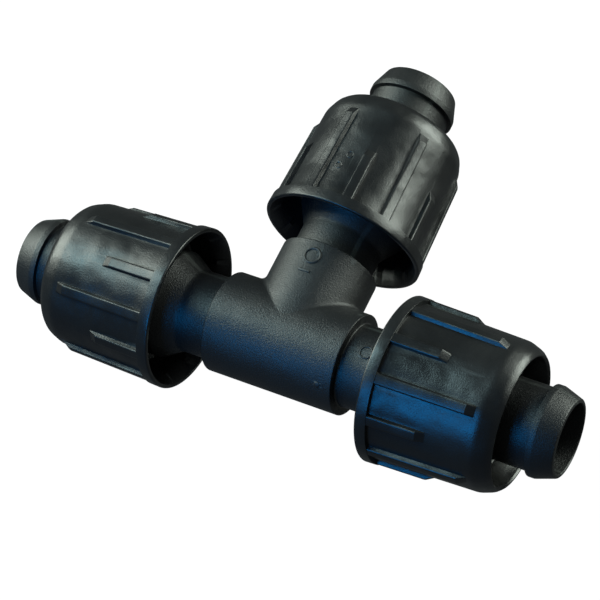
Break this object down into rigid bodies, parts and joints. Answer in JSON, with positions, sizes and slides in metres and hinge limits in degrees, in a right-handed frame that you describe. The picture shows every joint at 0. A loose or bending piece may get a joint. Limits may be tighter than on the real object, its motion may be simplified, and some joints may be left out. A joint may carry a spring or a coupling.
{
  "type": "pipe tee fitting",
  "caption": "Black plastic tee with barbed ends and ribbed lock nuts for small polyethylene irrigation pipe.",
  "frame": {"origin": "where the run's axis and the branch's axis cross, inside the tee", "axes": "+X along the run towards one of its two ends, +Y along the branch towards its end, +Z square to both"},
  "size_m": [0.099, 0.0656, 0.028],
  "materials": {
    "moulded_tee": "satin",
    "moulded_nut": "satin"
  },
  "bodies": {
    "tee": {"tee_body": "moulded_tee"},
    "left_nut": {"left_lock_nut": "moulded_nut"},
    "right_nut": {"right_lock_nut": "moulded_nut"},
    "branch_nut": {"branch_lock_nut": "moulded_nut"}
  },
  "joints": [
    {"name": "left_nut_travel", "type": "slide", "parent": "tee", "child": "left_nut", "axis": [-1, 0, 0], "range_m": [-0.00135, 0.032]},
    {"name": "right_nut_travel", "type": "slide", "parent": "tee", "child": "right_nut", "axis": [1, 0, 0], "range_m": [-0.00135, 0.032]},
    {"name": "branch_nut_travel", "type": "slide", "parent": "tee", "child": "branch_nut", "axis": [0, 1, 0], "range_m": [-0.0002, 0.033]}
  ]
}
